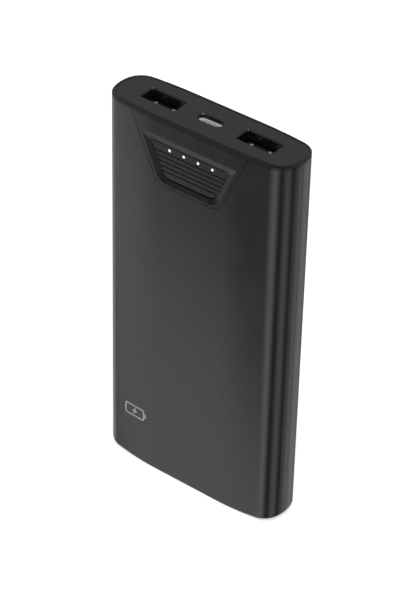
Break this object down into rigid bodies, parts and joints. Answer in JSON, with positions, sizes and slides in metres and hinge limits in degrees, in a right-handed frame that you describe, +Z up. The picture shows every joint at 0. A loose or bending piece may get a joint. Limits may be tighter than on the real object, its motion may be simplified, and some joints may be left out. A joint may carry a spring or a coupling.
{
  "type": "power bank",
  "caption": "Slim upright power bank: two-shell case, bevelled port cap with sockets, and a tapered front panel with a grooved sprung key and status lights.",
  "frame": {"origin": "middle of the foot, on the surface that the case stands on", "axes": "+Z up towards the sockets, the front face with the power key looks along -Y, +X to the right seen from the front"},
  "size_m": [0.072, 0.0192, 0.143],
  "materials": {
    "shell_plastic": "satin",
    "cap_plastic": "satin",
    "panel_plastic": "satin",
    "key_plastic": "satin",
    "tape": "matte",
    "light_pipe": "gloss",
    "led": "gloss",
    "switch_plastic": "matte",
    "spring_steel": "satin",
    "plunger_plastic": "matte",
    "receptacle_steel": "polished",
    "insulator": "matte",
    "gold": "polished",
    "circuit_board": "satin",
    "ferrite": "matte",
    "chip_epoxy": "matte",
    "tantalum": "matte",
    "ceramic_body": "matte",
    "screw_steel": "satin",
    "pouch_foil": "satin",
    "foam": "matte",
    "nickel": "satin",
    "lead_red": "matte",
    "lead_black": "matte"
  },
  "bodies": {
    "case": {"front_shell": "shell_plastic", "rear_shell": "shell_plastic", "top_cap": "cap_plastic", "front_panel": "panel_plastic", "panel_adhesive": "tape", "switch_base": "switch_plastic", "switch_cover": "spring_steel", "switch_dome": "spring_steel", "status_leds": "led", "usb_c_shell": "receptacle_steel", "usb_c_insulator": "insulator", "usb_c_contacts": "gold", "main_board": "circuit_board", "power_inductor": "ferrite", "controller_chip": "chip_epoxy", "power_mosfets": "chip_epoxy", "bulk_capacitors": "tantalum", "ceramic_capacitors": "ceramic_body", "resistors": "chip_epoxy", "board_screws": "screw_steel", "cell_front": "pouch_foil", "cell_rear": "pouch_foil", "cell_tape": "tape", "foam_pad_front": "foam", "foam_pad_rear": "foam", "cell_tabs": "nickel", "protection_board": "circuit_board", "protection_chips": "chip_epoxy", "lead_positive": "lead_red", "lead_negative": "lead_black", "usb_a_left_shell": "receptacle_steel", "usb_a_left_insulator": "insulator", "usb_a_left_contacts": "gold", "usb_a_right_shell": "receptacle_steel", "usb_a_right_insulator": "insulator", "usb_a_right_contacts": "gold"},
    "key": {"power_key": "key_plastic", "light_pipes": "light_pipe"},
    "plunger": {"switch_plunger": "plunger_plastic"}
  },
  "joints": [
    {"name": "key_press", "type": "slide", "parent": "case", "child": "key", "axis": [0, 1, 0], "range_m": [0, 0.0003], "stiffness_N_per_m": 5000, "springref_m": -0.0001},
    {"name": "plunger_press", "type": "slide", "parent": "case", "child": "plunger", "axis": [0, 1, 0], "range_m": [0, 0.0003]}
  ],
  "couplings": [
    {"joint": "plunger_press", "follows": "key_press", "ratio": 1}
  ]
}
